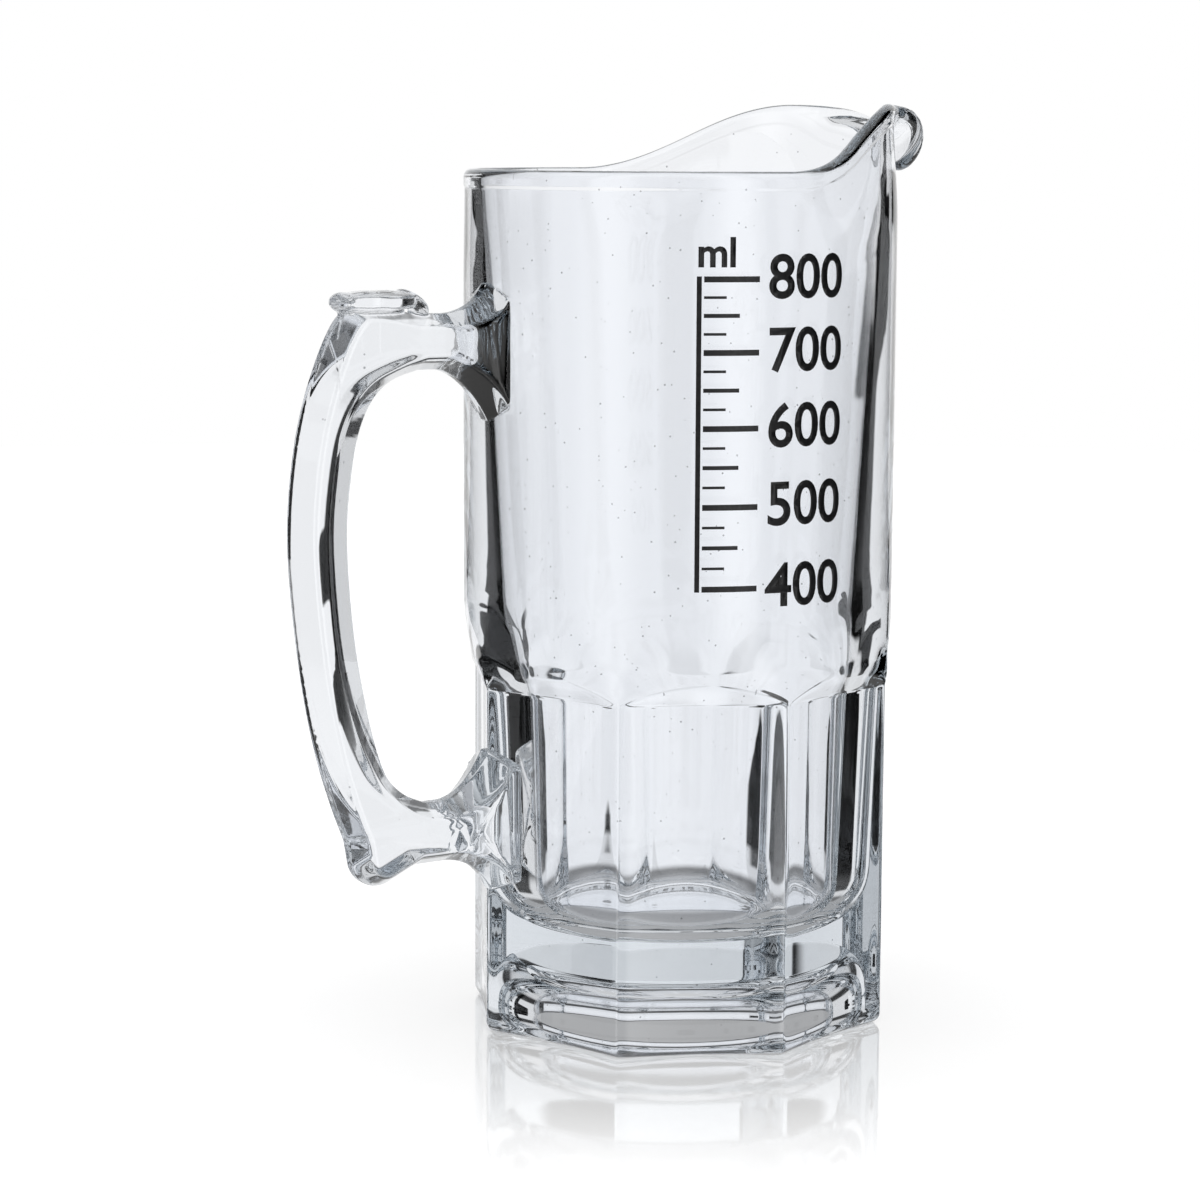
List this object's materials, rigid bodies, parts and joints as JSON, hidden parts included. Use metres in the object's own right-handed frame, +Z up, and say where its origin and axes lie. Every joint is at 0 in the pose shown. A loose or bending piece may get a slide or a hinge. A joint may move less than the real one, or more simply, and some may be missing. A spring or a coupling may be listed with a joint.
{
  "type": "glass pitcher",
  "caption": "Clear pressed-glass pitcher: round upper wall, fluted thick-based lower wall, rim rising to a rolled pouring lip, and a stuck-on loop handle with a thumb rest.",
  "frame": {"origin": "On the ground plane the foot stands on, under the middle of the whole object's length and width. The vessel's own axis stands 17.95 mm from it towards the lip.", "axes": "+Z is up. +X points from the handle to the pouring lip. +Y is across, and the object mirrors itself across the plane Y = 0."},
  "size_m": [0.1615, 0.1, 0.2129],
  "materials": {
    "vessel_glass": "clear pressed glass, fire polished",
    "handle_glass": "clear pressed glass, fire polished"
  },
  "bodies": {
    "root": {"vessel": "vessel_glass", "handle": "handle_glass"}
  },
  "joints": []
}
